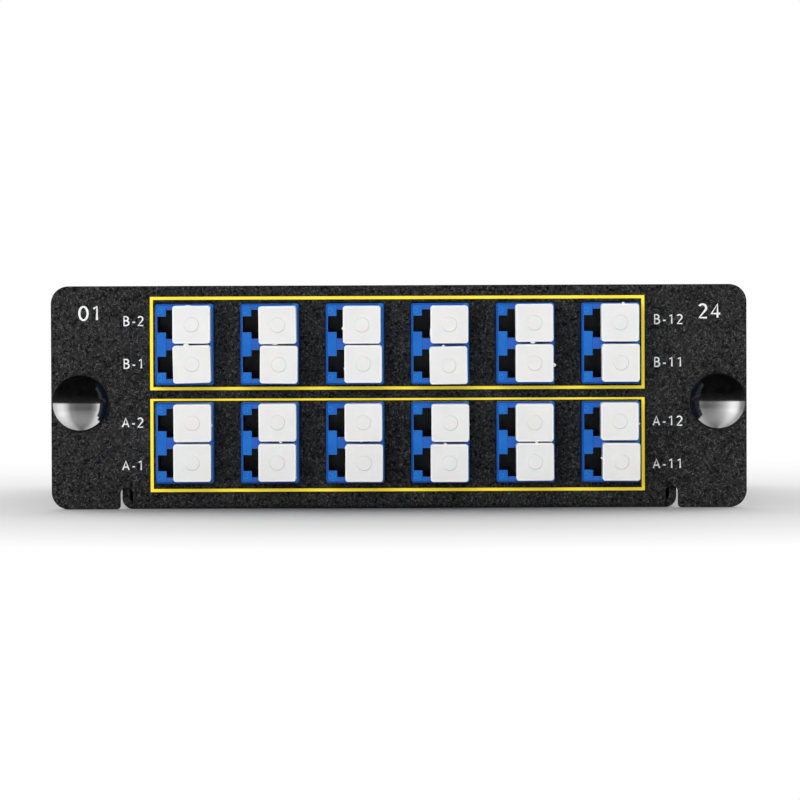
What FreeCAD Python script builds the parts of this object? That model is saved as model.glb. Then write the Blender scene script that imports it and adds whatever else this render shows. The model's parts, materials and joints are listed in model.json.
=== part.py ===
"""Fibre tap cassette: a folded sheet case with two rows of duplex LC adapters.

Millimetres, +Z up, the front faces -Y. The depth of every feature is first measured from the
front plate's face; place() then moves it so that the origin is the centre of the whole object's
box, on the surface that it stands on.
"""

import FreeCAD, Part
import math
import os

V = FreeCAD.Vector
X_AXIS = V(1, 0, 0)
Y_AXIS = V(0, 1, 0)
Z_AXIS = V(0, 0, 1)

# How far a cut runs past the face that it opens, and into a cut beside it.
OVERCUT = 1.0
CUT_OVERLAP = 0.1

# Adapter port: a square socket with a latch slot on its left, seen from the front.
PORT_SQUARE = 4.8
PORT_PITCH = 6.25
PORT_WALL = 0.8
PORT_SIDE_WALL = 0.8
LATCH_WIDE = 4.5
LATCH_WIDE_REACH = 1.88
LATCH_NARROW = 2.5
LATCH_NARROW_REACH = 1.22
LATCH_WALL = 0.35
LATCH_LEDGE = 3.0
LATCH_DEPTH = 9.0

# Adapter housing.
ADAPTER_LENGTH = 26.0
ADAPTER_REACH = 4.0
ADAPTER_CORNER = 0.42
ADAPTER_RIM = 0.3
MID_WALL = 2.0
FLANGE_REACH = 0.9
FLANGE_THICKNESS = 1.8
HOLDER_RADIUS = 1.45
HOLDER_LENGTH = 8.0
HOLDER_LIP = 0.5
HOLDER_MOUTH = 0.7

# Alignment sleeve and ferrule.
FERRULE_RADIUS = 0.625
FERRULE_LENGTH = 8.0
FERRULE_FIT = 0.02
SLEEVE_WALL = 0.17
SLEEVE_FIT = 0.06
SLEEVE_END_PLAY = 0.1
SLEEVE_SLIT = 0.3

# Layout of the front. The rows, margins and walls add up to a plate of 109 by 35 mm.
COLUMNS = 6
COLUMN_PITCH = 13.3
COLUMN_SHIFT = -0.2
ROW_BOTTOM_GAP = 2.96
ROW_GAP = 2.74
ROW_TOP_MARGIN = 2.8
SIDE_ROOM = 3.625
EAR_WIDTH = 11.0

# Case sheet.
SHEET = 1.2
SIDE_FOLD_INSIDE = 0.5
END_FOLD_INSIDE = 0.3
PLATE_CORNER = 2.75
RELIEF_WIDTH = 2.0
RELIEF_HEIGHT = 3.4
RELIEF_REACH = 0.25
RELIEF_CORNER = 0.5
SHEET_GAP = 0.2
LID_THICKNESS = 1.0
LID_DROP = 0.3
LID_CORNER = 1.0
LID_GAP = 0.1
TAB_WIDTH = 5.0
TAB_LENGTH = 10.0
TAB_FRONT = 12.0
TAB_REAR = 10.0
CUTOUT_SIDE_GAP = 0.1
CUTOUT_TOP_GAP = 0.18
CUTOUT_BOTTOM_GAP = 0.05
CUTOUT_CORNER = 0.5
FIBRE_BAY = 52.8

# M2 countersunk case screws.
SCREW_RADIUS = 1.0
SCREW_HEAD_RADIUS = 1.9
SCREW_LENGTH = 3.6
SCREW_FIT = 0.04
SCREW_SOCKET_RADIUS = 0.95
SCREW_SOCKET_DEPTH = 0.5
COLLAR_WALL = 0.5
COLLAR_HEIGHT = 1.2

# Bracket that clamps the adapters' flanges to the plate.
BRACKET_THICKNESS = 1.0
BRACKET_FOLD = 0.9
BRACKET_GAP = 0.1
BRACKET_FOOT = 9.0
BRACKET_SIDE_GAP = 0.5
BRACKET_SCREWS = 3

# Push-pull latch in each ear.
LATCH_HEIGHT = 16.66
LATCH_OUT = 6.45
SHANK_RADIUS = 2.4
SHANK_LENGTH = 8.5
SHANK_FIT = 0.1
SHANK_SLOT = 0.5
SHANK_TIP = 0.5
GROMMET_RADIUS = 4.44
GROMMET_THICKNESS = 0.8
GROMMET_EDGE = 0.3
GROMMET_RING_RADIUS = 2.75
GROMMET_RING = 0.6
PIN_RADIUS = 1.25
PIN_FIT = 0.1
PIN_SHORT = 1.0
DOME_RADIUS = 4.2
DOME_HEIGHT = 1.85
DOME_EDGE = 0.55
DOME_GAP = 0.05

# Dust plug for an LC port.
DUST_HEAD_GAP = 0.38
DUST_HEAD_LENGTH = 4.0
DUST_CORNER = 0.45
DUST_EDGE = 0.2
DUST_FIT = 0.25
DUST_SHANK = 8.0
DUST_SHANK_CORNER = 0.5
DUST_TIP = 0.35
DUST_BORE_RADIUS = 1.6
DUST_BORE_DEPTH = 6.5
DUST_MARK_RADIUS = 1.2
DUST_MARK_RISE = 0.12

# Where each dust plug sits in its socket's clearance: right and up as shares of the clearance,
# and its turn in degrees. Plug 1 is the lower one of the left column, plug 2 is above it. A row
# with more plugs starts over.
PLUG_PLAY = {
    "a": ((0.0, 0.6, 0.0), (0.2, 0.4, 0.3), (-0.4, 0.6, 0.0), (-0.2, 0.6, 0.2),
          (0.4, 0.2, -0.3), (0.0, 0.4, 0.0), (0.2, 0.0, 0.0), (0.8, 0.0, 0.0),
          (0.2, 0.6, 0.3), (0.0, 0.0, 0.0), (0.6, 0.4, -0.3), (-0.4, 0.6, 0.0)),
    "b": ((0.0, 0.4, 1.2), (-0.2, 0.0, 0.0), (0.8, 0.0, -0.6), (0.0, -0.4, 0.6),
          (0.0, 0.2, 0.0), (-0.8, -0.4, 0.0), (-0.2, -0.8, 0.6), (0.4, -0.4, 0.0),
          (0.0, 0.4, 0.0), (0.0, 0.4, 0.3), (0.4, 0.4, 0.0), (0.0, 0.4, 0.0)),
}

# Printed outlines round the two port groups.
PRINT_THICKNESS = 0.05
PRINT_LINE = 0.48
PRINT_THIN_LINE = 0.32
PRINT_LEFT = 1.0
PRINT_RIGHT = 0.93
PRINT_BELOW_A = 1.46
PRINT_ABOVE_A = 0.5
PRINT_BELOW_B = 0.89
PRINT_ABOVE_B = 1.1

# Pigtail plug, boot and fibre behind each port.
PIGTAIL_FIT = 0.15
PIGTAIL_NOSE_GAP = 0.3
PIGTAIL_BODY_OUT = 5.0
PIGTAIL_BORE_RADIUS = 1.6
PIGTAIL_LEVER = 0.8
PIGTAIL_LEVER_WIDTH = 2.2
PIGTAIL_LEVER_GAP = 0.5
PIGTAIL_LEVER_OUT = 2.5
BOOT_LENGTH = 11.0
BOOT_RADIUS = 1.6
BOOT_END_RADIUS = 0.95
FIBRE_RADIUS = 0.45
FIBRE_FIT = 0.05
FIBRE_STEP = 1.2
FIBRE_TURN_ROOM = 8.0
FIBRE_SLANT = 6.0
FIBRE_WALL_ROOM = 3.3
FIBRE_ENTRY = 2.0
FIBRE_LEAD = 2.0
FIBRE_CLEAR = 0.3

# Splitters in their tray.
SPLITTER_RADIUS = 1.5
SPLITTER_LENGTH = 40.0
SPLITTER_FIT = 0.05
SPLITTER_PITCH = 3.4
SPLITTER_RECESS = 1.2
TRAY_FLOOR = 0.8
TRAY_RIM = 0.5
TRAY_RIB = 2.0
TRAY_RIB_OUT = 14.0
TRAY_BLOCK = 4.0
TRAY_SOCKET = 1.0
TRAY_REAR_ROOM = 8.0
TRAY_FRONT_EDGE = 1.4

# Tap tube to the rear socket.
TAP_RADIUS = 1.0
TAP_TURN = 10.0
TAP_LEAD = 3.0
TAP_ENTRY = 1.6

# Rear multi-fibre socket.
MPO_WIDTH = 12.6
MPO_HEIGHT = 9.2
MPO_LENGTH = 26.0
MPO_OUT = 9.0
MPO_CORNER = 0.6
MPO_PORT_WIDTH = 10.2
MPO_PORT_HEIGHT = 7.0
MPO_MID_WALL = 2.0
MPO_WINDOW_WIDTH = 6.7
MPO_WINDOW_HEIGHT = 2.8
MPO_KEY_WIDTH = 3.0
MPO_KEY_HEIGHT = 0.7
MPO_FLANGE_SIDE = 4.7
MPO_FLANGE = 2.0
MPO_SCREW_OUT = 2.85
MPO_CUTOUT_GAP = 0.2
MPO_TRAY_GAP = 0.3
MPO_SCREW_LENGTH = 4.6
MPO_SCREW_HEAD = 1.2
MPO_SCREW_EDGE = 0.5
MPO_PLUG_WIDTH = 12.4
MPO_PLUG_HEIGHT = 7.6
MPO_PLUG_LENGTH = 10.0
MPO_FIT = 0.15
MPO_BOOT_WIDTH = 6.4
MPO_BOOT_HEIGHT = 5.0
MPO_BOOT_LENGTH = 8.0
MPO_CAP_HEAD = 3.5
MPO_CAP_SHANK = 8.0
MPO_CAP_WALL = 0.9

# What follows from the sizes above.
port_offset = (LATCH_WALL + LATCH_NARROW_REACH + LATCH_WIDE_REACH - PORT_SIDE_WALL) / 2
adapter_width = LATCH_WALL + LATCH_NARROW_REACH + LATCH_WIDE_REACH + PORT_SQUARE + PORT_SIDE_WALL
adapter_height = PORT_PITCH + PORT_SQUARE + 2 * PORT_WALL
port_depth = (ADAPTER_LENGTH - MID_WALL) / 2
adapter_mid = ADAPTER_LENGTH / 2 - ADAPTER_REACH
adapter_rear = ADAPTER_LENGTH - ADAPTER_REACH
port_heights = (-PORT_PITCH / 2, PORT_PITCH / 2)

column_x = [COLUMN_SHIFT + (k - (COLUMNS - 1) / 2) * COLUMN_PITCH for k in range(COLUMNS)]
row_a_z = SHEET + ROW_BOTTOM_GAP + adapter_height / 2
row_b_z = row_a_z + adapter_height + ROW_GAP
row_z = {"a": row_a_z, "b": row_b_z}
columns_width = (COLUMNS - 1) * COLUMN_PITCH + adapter_width
plate_height = row_b_z + adapter_height / 2 + ROW_TOP_MARGIN
body_width = columns_width + 2 * (FLANGE_REACH + SIDE_ROOM + SHEET)
plate_width = body_width + 2 * EAR_WIDTH
latch_x = body_width / 2 + LATCH_OUT
inside_x = body_width / 2 - SHEET

boot_start = adapter_rear + PIGTAIL_BODY_OUT
boot_end = boot_start + BOOT_LENGTH
rear_inside = boot_end + FIBRE_BAY
body_depth = rear_inside + SHEET

lid_top = plate_height - LID_DROP
lid_bottom = lid_top - LID_THICKNESS
tab_bottom = lid_bottom - SHEET
screw_x = inside_x - TAB_WIDTH / 2
tab_y = (TAB_FRONT, (TAB_FRONT + rear_inside - TAB_REAR) / 2, rear_inside - TAB_REAR)

bracket_front = SHEET + FLANGE_THICKNESS + BRACKET_GAP
bracket_back = bracket_front + BRACKET_THICKNESS
bracket_screw_y = bracket_back + BRACKET_FOOT / 2
bracket_screw_x = [(k - (BRACKET_SCREWS - 1) / 2) * 2 * COLUMN_PITCH for k in range(BRACKET_SCREWS)]

splitters_deep = (COLUMNS + 1) // 2
splitters_high = 2 * len(port_heights)
tray_half = splitters_deep * SPLITTER_PITCH / 2
tray_y = rear_inside - TRAY_REAR_ROOM - tray_half
tray_top = SHEET + TRAY_FLOOR + splitters_high * SPLITTER_PITCH + TRAY_RIM

mpo_z = tray_top + MPO_TRAY_GAP + MPO_HEIGHT / 2
mpo_rear = body_depth + MPO_FLANGE + MPO_OUT
mpo_front = mpo_rear - MPO_LENGTH
mpo_port_depth = (MPO_LENGTH - MPO_MID_WALL) / 2
mpo_screw_x = MPO_WIDTH / 2 + MPO_SCREW_OUT
mpo_boot_start = mpo_front - MPO_PLUG_LENGTH
mpo_boot_end = mpo_boot_start - MPO_BOOT_LENGTH
over_boot_z = mpo_z + MPO_BOOT_HEIGHT / 2 + FIBRE_CLEAR + FIBRE_RADIUS

front_reach = ADAPTER_REACH + DUST_HEAD_LENGTH + DUST_MARK_RISE
rear_reach = mpo_rear + MPO_CAP_HEAD
plate_y = (front_reach - rear_reach) / 2


def box(x0, x1, y0, y1, z0, z1):
    """Box between two corners."""
    return Part.makeBox(x1 - x0, y1 - y0, z1 - z0, V(x0, y0, z0))


def rod(x, z, radius, y0, y1):
    """Round bar along Y."""
    return Part.makeCylinder(radius, y1 - y0, V(x, y0, z), Y_AXIS)


def edges_along(shape, axis, pick=None):
    """Straight edges parallel to an axis, and only those that pick(centre) keeps."""
    found = []
    for edge in shape.Edges:
        if not isinstance(edge.Curve, Part.Line):
            continue
        direction = edge.tangentAt(edge.FirstParameter)
        if abs(abs(direction.dot(axis)) - 1) < 1e-6 and (pick is None or pick(edge.CenterOfMass)):
            found.append(edge)
    return found


def edges_at(shape, y):
    """Edges whose centres lie in the plane at y."""
    return [edge for edge in shape.Edges if abs(edge.CenterOfMass.y - y) < 1e-6]


def rounded_box(x0, x1, y0, y1, z0, z1, radius):
    """Box along Y whose four long edges are rounded."""
    block = box(x0, x1, y0, y1, z0, z1)
    return block.makeFillet(radius, edges_along(block, Y_AXIS))


def block_at(x, z, width, height, y0, y1, radius=0.0):
    """Box along Y centred on an axis, with rounded long edges if a radius is given."""
    sides = (x - width / 2, x + width / 2, y0, y1, z - height / 2, z + height / 2)
    return rounded_box(*sides, radius) if radius else box(*sides)


def turned(profile, x, z):
    """Solid turned about an axis along Y, from (radius, y) points of its half section."""
    points = [V(x + radius, y, z) for radius, y in profile]
    face = Part.Face(Part.makePolygon(points + points[:1]))
    return outward(face.revolve(V(x, 0, z), Y_AXIS, 360))


def outward(solid):
    """The same solid with its faces turned outwards."""
    return solid.reversed() if solid.Volume < 0 else solid


def rounded_route(points):
    """Straight runs joined by tangent arcs, each as large as its two runs allow."""
    inner = 0.45
    outer = 0.9
    lengths = [a.distanceToPoint(b) for a, b in zip(points, points[1:])]
    share = [outer if i in (0, len(lengths) - 1) else inner for i in range(len(lengths))]
    edges = []
    start = points[0]
    for i in range(1, len(points) - 1):
        before = (points[i - 1] - points[i]).normalize()
        after = (points[i + 1] - points[i]).normalize()
        tangent = min(share[i - 1] * lengths[i - 1], share[i] * lengths[i])
        half = before.getAngle(after) / 2
        radius = tangent * math.tan(half)
        middle = (before + after).normalize()
        first = points[i] + before * tangent
        last = points[i] + after * tangent
        top = points[i] + middle * (radius / math.sin(half) - radius)
        edges.append(Part.LineSegment(start, first).toShape())
        edges.append(Part.Arc(first, top, last).toShape())
        start = last
    edges.append(Part.LineSegment(start, points[-1]).toShape())
    return Part.Wire(edges)


def tube_along(points, radius):
    """Round solid that follows a route."""
    path = rounded_route(points)
    direction = (points[1] - points[0]).normalize()
    section = Part.Face(Part.Wire(Part.makeCircle(radius, points[0], direction)))
    return path.makePipe(section)


def port_centre(column, row, port):
    """X and Z of one port's axis."""
    return column_x[column] + port_offset, row_z[row] + port_heights[port]


def all_ports():
    """Column, row and port of every port, in a fixed order."""
    return [(column, row, port) for row in "ab" for column in range(COLUMNS) for port in (0, 1)]


def in_port(piece, port):
    """Copy of a piece that was made on the Y axis, moved onto a port's axis."""
    x, z = port_centre(*port)
    return piece.translated(V(x, 0, z))


def seated(plug, port):
    """Copy of a dust plug in its port, with its play."""
    column, row, high = port
    plays = PLUG_PLAY[row]
    right, up, turn = plays[(2 * column + high) % len(plays)]
    piece = plug.copy()
    piece.rotate(V(0, 0, 0), Y_AXIS, -turn)
    return in_port(piece.translated(V(right * DUST_FIT, 0, up * DUST_FIT)), port)


def in_every_port(piece):
    """One copy of a piece in every port."""
    return Part.Compound([in_port(piece, port) for port in all_ports()])


def end_plate(width, y_outside, y_inside, corner):
    """Upright plate folded up from the floor, with relief notches beside its fold."""
    low, high = min(y_outside, y_inside), max(y_outside, y_inside)
    fold = body_width / 2 + RELIEF_REACH - RELIEF_WIDTH
    plate = rounded_box(-width / 2, width / 2, low, high, 0, plate_height, corner)
    plate = plate.cut(box(-fold, fold, low, high, 0, RELIEF_HEIGHT))
    for side in (-1, 1):
        centre = side * (fold + RELIEF_WIDTH / 2)
        top = RELIEF_HEIGHT - RELIEF_WIDTH / 2
        slot = box(centre - RELIEF_WIDTH / 2, centre + RELIEF_WIDTH / 2, low, high, -OVERCUT, top)
        plate = plate.cut(slot.fuse(rod(centre, top, RELIEF_WIDTH / 2, low, high)))
    ears = edges_along(plate, Y_AXIS, lambda c: abs(abs(c.x) - fold - RELIEF_WIDTH) < 1e-6 and c.z < 1e-6)
    if ears:
        plate = plate.makeFillet(RELIEF_CORNER, ears)
    inward = 1 if y_inside > y_outside else -1
    return plate.fuse(end_fold(y_outside, y_inside, inward, fold)).removeSplitter()


def end_fold(y_outside, y_inside, inward, half):
    """The bend between an end plate and the floor."""
    inner, outer = END_FOLD_INSIDE, END_FOLD_INSIDE + SHEET
    diagonal = 1 - math.sqrt(0.5)
    reach = y_inside + inward * (SHEET + 2 * SHEET_GAP)

    def at(y, z):
        return V(-half, y, z)

    around = [at(y_outside, RELIEF_HEIGHT), at(y_outside, outer), at(y_outside + inward * outer, 0),
              at(reach, 0), at(reach, SHEET), at(y_inside + inward * inner, SHEET),
              at(y_inside, SHEET + inner), at(y_inside, RELIEF_HEIGHT)]
    outer_mid = at(y_outside + inward * outer * diagonal, outer * diagonal)
    inner_mid = at(y_inside + inward * inner * diagonal, SHEET + inner * diagonal)
    edges = [Part.LineSegment(a, b).toShape() for a, b in zip(around, around[1:] + around[:1])]
    edges[1] = Part.Arc(around[1], outer_mid, around[2]).toShape()
    edges[5] = Part.Arc(around[5], inner_mid, around[6]).toShape()
    return Part.Face(Part.Wire(edges)).extrude(V(2 * half, 0, 0))


def side_walls():
    """Floor with both side walls folded up, as one channel."""
    y0 = SHEET + SHEET_GAP
    y1 = rear_inside - SHEET_GAP
    half = body_width / 2
    outside = box(-half, half, y0, y1, 0, lid_bottom - LID_GAP)
    low = [c for c in edges_along(outside, Y_AXIS) if c.CenterOfMass.z < SHEET]
    outside = outside.makeFillet(SHEET + SIDE_FOLD_INSIDE, low)
    inside = box(-inside_x, inside_x, y0, y1, SHEET, plate_height)
    low = edges_along(inside, Y_AXIS, lambda c: c.z < 2 * SHEET)
    return outside.cut(inside.makeFillet(SIDE_FOLD_INSIDE, low))


def lid_tab(side, y):
    """Tab folded inwards from a side wall, with an extruded screw collar."""
    half = body_width / 2
    y0, y1 = y - TAB_LENGTH / 2, y + TAB_LENGTH / 2
    outer = box(inside_x - TAB_WIDTH, half, y0, y1, tab_bottom - 2 * SHEET, lid_bottom)
    outer = outer.makeFillet(SHEET + SIDE_FOLD_INSIDE,
                             edges_along(outer, Y_AXIS, lambda c: c.z > tab_bottom and c.x > inside_x))
    under = box(inside_x - TAB_WIDTH - OVERCUT, inside_x, y0 - OVERCUT, y1 + OVERCUT, 0, tab_bottom)
    under = under.makeFillet(SIDE_FOLD_INSIDE,
                             edges_along(under, Y_AXIS, lambda c: c.z > SHEET and c.x > inside_x - SHEET))
    tab = outer.cut(under)
    collar = Part.makeCylinder(SCREW_RADIUS + SCREW_FIT + COLLAR_WALL, COLLAR_HEIGHT,
                               V(screw_x, y, tab_bottom - COLLAR_HEIGHT))
    hole = Part.makeCylinder(SCREW_RADIUS + SCREW_FIT, 3 * SHEET, V(screw_x, y, lid_bottom - 3 * SHEET))
    tab = tab.fuse(collar).cut(hole)
    return tab if side > 0 else tab.mirror(V(0, 0, 0), X_AXIS)


def adapter_cutouts():
    """Windows in the front plate, a little larger than the adapters, with more room above."""
    cuts = []
    for row in "ab":
        for x in column_x:
            half = adapter_width / 2 + CUTOUT_SIDE_GAP
            bottom = row_z[row] - adapter_height / 2 - CUTOUT_BOTTOM_GAP
            top = row_z[row] + adapter_height / 2 + CUTOUT_TOP_GAP
            cuts.append(rounded_box(x - half, x + half, -OVERCUT, SHEET + OVERCUT, bottom, top,
                                    CUTOUT_CORNER))
    return cuts


def floor_screw_hole(x, y):
    """Countersunk hole up through the floor."""
    clear = SCREW_HEAD_RADIUS + SCREW_FIT
    cone = Part.makeCone(clear, SCREW_RADIUS + SCREW_FIT, clear - SCREW_RADIUS - SCREW_FIT, V(x, y, 0))
    return cone.fuse(Part.makeCylinder(SCREW_RADIUS + SCREW_FIT, SHEET, V(x, y, 0)))


def mpo_screw_places():
    """X of the two screws that hold the rear socket."""
    return (-mpo_screw_x, mpo_screw_x)


def make_chassis():
    """Floor, front plate, side walls, rear wall and tabs, one folded sheet."""
    front = end_plate(plate_width, 0, SHEET, PLATE_CORNER)
    rear = end_plate(body_width, body_depth, rear_inside, LID_CORNER)
    above_rear = box(-body_width, body_width, rear_inside - OVERCUT, body_depth + OVERCUT,
                     lid_bottom - LID_GAP, 2 * plate_height)
    shape = side_walls().fuse([front, rear.cut(above_rear)])
    tabs = [lid_tab(side, y) for side in (-1, 1) for y in tab_y]
    shape = shape.fuse(tabs).removeSplitter()
    cuts = adapter_cutouts()
    cuts += [rod(side * latch_x, LATCH_HEIGHT, SHANK_RADIUS + SHANK_FIT, -OVERCUT, SHEET + OVERCUT)
             for side in (-1, 1)]
    cuts += [floor_screw_hole(x, bracket_screw_y) for x in bracket_screw_x]
    cuts.append(block_at(0, mpo_z, MPO_WIDTH + 2 * MPO_CUTOUT_GAP, MPO_HEIGHT + 2 * MPO_CUTOUT_GAP,
                         rear_inside - OVERCUT, body_depth + OVERCUT, MPO_CORNER))
    for x in mpo_screw_places():
        inner_end = rear_inside - COLLAR_HEIGHT
        collar = rod(x, mpo_z, SCREW_RADIUS + SCREW_FIT + COLLAR_WALL, inner_end, rear_inside)
        shape = shape.fuse(collar)
        cuts.append(rod(x, mpo_z, SCREW_RADIUS + SCREW_FIT, inner_end - OVERCUT, body_depth + OVERCUT))
    return shape.cut(cuts)


def make_top_cover():
    """Flat lid on the tabs, with countersunk screw holes."""
    half = body_width / 2
    lid = box(-half, half, SHEET + SHEET_GAP, body_depth, lid_bottom, lid_top)
    lid = lid.makeFillet(LID_CORNER, edges_along(lid, Z_AXIS, lambda c: c.y > 2 * SHEET))
    clear = SCREW_HEAD_RADIUS + SCREW_FIT
    hole_radius = SCREW_RADIUS + SCREW_FIT
    depth = clear - hole_radius
    for side in (-1, 1):
        for y in tab_y:
            cone = Part.makeCone(hole_radius, clear, depth, V(side * screw_x, y, lid_top - depth))
            hole = Part.makeCylinder(hole_radius, LID_THICKNESS, V(side * screw_x, y, lid_bottom))
            lid = lid.cut(cone.fuse(hole))
    return lid


def countersunk_screw(x, y, z, up):
    """Screw with its head's flat at z and its shank pointing away from the head."""
    depth = SCREW_HEAD_RADIUS - SCREW_RADIUS
    head = Part.makeCone(SCREW_HEAD_RADIUS, SCREW_RADIUS, depth, V(0, 0, 0))
    shank = Part.makeCylinder(SCREW_RADIUS, SCREW_LENGTH, V(0, 0, 0))
    screw = head.fuse(shank).cut(cross_recess())
    if not up:
        screw.rotate(V(0, 0, 0), X_AXIS, 180)
    return screw.translate(V(x, y, z))


def cross_recess():
    """Cross-shaped drive recess, open at z = 0."""
    arm = SCREW_SOCKET_RADIUS
    width = arm / 3
    one = Part.makeBox(2 * arm, width, SCREW_SOCKET_DEPTH, V(-arm, -width / 2, 0))
    return one.fuse(Part.makeBox(width, 2 * arm, SCREW_SOCKET_DEPTH, V(-width / 2, -arm, 0)))


def make_case_screws():
    """The lid's screws and the bracket's, all alike."""
    lid = [countersunk_screw(side * screw_x, y, lid_top, False) for side in (-1, 1) for y in tab_y]
    floor = [countersunk_screw(x, bracket_screw_y, 0, True) for x in bracket_screw_x]
    return Part.Compound(lid + floor)


def make_adapter_bracket():
    """Sheet behind the adapters' flanges, folded back along the floor to its screws."""
    half = inside_x - BRACKET_SIDE_GAP
    upright = box(-half, half, bracket_front, bracket_back, SHEET, lid_bottom - SHEET_GAP)
    foot = box(-half, half, bracket_front, bracket_back + BRACKET_FOOT, SHEET, SHEET + BRACKET_THICKNESS)
    shape = upright.fuse(foot)
    corner = edges_along(shape, X_AXIS, lambda c: abs(c.y - bracket_front) < 1e-6 and c.z < SHEET + 1e-6)
    shape = shape.makeFillet(min(BRACKET_FOLD, 0.9 * BRACKET_THICKNESS), corner)
    cuts = []
    for row in "ab":
        for x in column_x:
            cuts.append(block_at(x, row_z[row], adapter_width + 4 * CUTOUT_SIDE_GAP,
                                 adapter_height + 2 * CUTOUT_SIDE_GAP, bracket_front - OVERCUT,
                                 bracket_back + OVERCUT, CUTOUT_CORNER))
    for x in bracket_screw_x:
        collar = Part.makeCylinder(SCREW_RADIUS + SCREW_FIT + COLLAR_WALL, COLLAR_HEIGHT,
                                   V(x, bracket_screw_y, SHEET + BRACKET_THICKNESS))
        shape = shape.fuse(collar)
        cuts.append(Part.makeCylinder(SCREW_RADIUS + SCREW_FIT, plate_height, V(x, bracket_screw_y, 0)))
    return shape.cut(cuts)


def port_hollow(x, z, mouth, inward):
    """One socket with its latch slot: mouth is the face's Y, inward is 1 or -1."""
    def cut(width, height, centre, near, far):
        y0, y1 = sorted((mouth + inward * near, mouth + inward * far))
        return block_at(x + centre, z, width, height, y0, y1)

    wide_x = -(PORT_SQUARE + LATCH_WIDE_REACH) / 2
    narrow_x = -PORT_SQUARE / 2 - LATCH_WIDE_REACH - LATCH_NARROW_REACH / 2
    lap = CUT_OVERLAP / 2
    wide = cut(LATCH_WIDE_REACH + CUT_OVERLAP, LATCH_WIDE, wide_x + lap, -OVERCUT, LATCH_DEPTH)
    narrow = cut(LATCH_NARROW_REACH + CUT_OVERLAP, LATCH_NARROW, narrow_x + lap, -OVERCUT, LATCH_DEPTH)
    pocket = cut(LATCH_NARROW_REACH, LATCH_WIDE, narrow_x, LATCH_LEDGE, LATCH_DEPTH)
    socket = cut(PORT_SQUARE, PORT_SQUARE, 0, -OVERCUT, port_depth)
    return socket.fuse([wide, narrow, pocket])


def sleeve_holder(x, z):
    """Tube across the middle wall that carries the alignment sleeve."""
    y0, y1 = adapter_mid - HOLDER_LENGTH / 2, adapter_mid + HOLDER_LENGTH / 2
    holder = rod(x, z, HOLDER_RADIUS, y0, y1)
    bore = FERRULE_RADIUS + FERRULE_FIT + SLEEVE_WALL + SLEEVE_FIT
    mouth = rod(x, z, HOLDER_MOUTH, y0 - OVERCUT, y1 + OVERCUT)
    return holder, rod(x, z, bore, y0 + HOLDER_LIP, y1 - HOLDER_LIP), mouth


def make_adapter():
    """Duplex adapter: two sockets one above the other, front and rear, joined by sleeve holders."""
    front, rear = -ADAPTER_REACH, adapter_rear
    body = block_at(0, 0, adapter_width, adapter_height, front, rear, ADAPTER_CORNER)
    body = body.makeChamfer(ADAPTER_RIM, edges_at(body, front) + edges_at(body, rear))
    flange = block_at(0, 0, adapter_width + 2 * FLANGE_REACH, adapter_height, SHEET, SHEET + FLANGE_THICKNESS)
    body = body.fuse(flange)
    hollows = []
    holders = []
    bores = []
    for z in port_heights:
        hollows.append(port_hollow(port_offset, z, front, 1))
        hollows.append(port_hollow(port_offset, z, rear, -1))
        holder, bore, mouth = sleeve_holder(port_offset, z)
        holders.append(holder)
        bores += [bore, mouth]
    return body.cut(hollows).fuse(holders).cut(bores)


def make_alignment_sleeve():
    """Split ceramic tube in a sleeve holder."""
    inner = FERRULE_RADIUS + FERRULE_FIT
    half = HOLDER_LENGTH / 2 - HOLDER_LIP - SLEEVE_END_PLAY
    y0, y1 = adapter_mid - half, adapter_mid + half
    sleeve = rod(0, 0, inner + SLEEVE_WALL, y0, y1).cut(rod(0, 0, inner, y0 - OVERCUT, y1 + OVERCUT))
    return sleeve.cut(box(-SLEEVE_SLIT / 2, SLEEVE_SLIT / 2, y0 - OVERCUT, y1 + OVERCUT, 0, 2 * inner))


def make_dust_plug():
    """Square head on the adapter's face and a hollow shank in the socket."""
    face = -ADAPTER_REACH
    size = PORT_PITCH - DUST_HEAD_GAP
    front = face - DUST_HEAD_LENGTH
    head = block_at(0, 0, size, size, front, face, DUST_CORNER)
    head = head.makeFillet(DUST_EDGE, edges_at(head, front))
    top = front - DUST_MARK_RISE
    root = front + DUST_EDGE
    mark = turned([(0, top), (DUST_MARK_RADIUS - DUST_MARK_RISE, top), (DUST_MARK_RADIUS, front),
                   (DUST_MARK_RADIUS, root), (0, root)], 0, 0)
    width = PORT_SQUARE - 2 * DUST_FIT
    end = face + DUST_SHANK
    shank = block_at(0, 0, width, width, face - DUST_EDGE, end, DUST_SHANK_CORNER)
    shank = shank.makeChamfer(DUST_TIP, edges_at(shank, end))
    bore = rod(0, 0, DUST_BORE_RADIUS, end - DUST_BORE_DEPTH, end + OVERCUT)
    return head.fuse([mark, shank]).cut(bore)


def make_grommet(side):
    """Flanged grommet whose split shank enters the panel's hole."""
    x, z = side * latch_x, LATCH_HEIGHT
    ring = SHEET + SHANK_FIT
    tip = SHANK_LENGTH
    bore = PIN_RADIUS + PIN_FIT
    ring_end = ring + GROMMET_RING
    body = turned([(bore, -GROMMET_THICKNESS), (GROMMET_RADIUS - GROMMET_EDGE, -GROMMET_THICKNESS),
                   (GROMMET_RADIUS, GROMMET_EDGE - GROMMET_THICKNESS), (GROMMET_RADIUS, 0),
                   (SHANK_RADIUS, 0), (SHANK_RADIUS, ring), (GROMMET_RING_RADIUS, ring),
                   (GROMMET_RING_RADIUS, ring_end), (SHANK_RADIUS, ring_end),
                   (SHANK_RADIUS, tip - SHANK_TIP), (SHANK_RADIUS - SHANK_TIP, tip), (bore, tip)], x, z)
    half = SHANK_SLOT / 2
    across = box(x - GROMMET_RADIUS, x + GROMMET_RADIUS, ring, tip + OVERCUT, z - half, z + half)
    upright = box(x - half, x + half, ring, tip + OVERCUT, z - GROMMET_RADIUS, z + GROMMET_RADIUS)
    return body.cut([across, upright])


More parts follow.
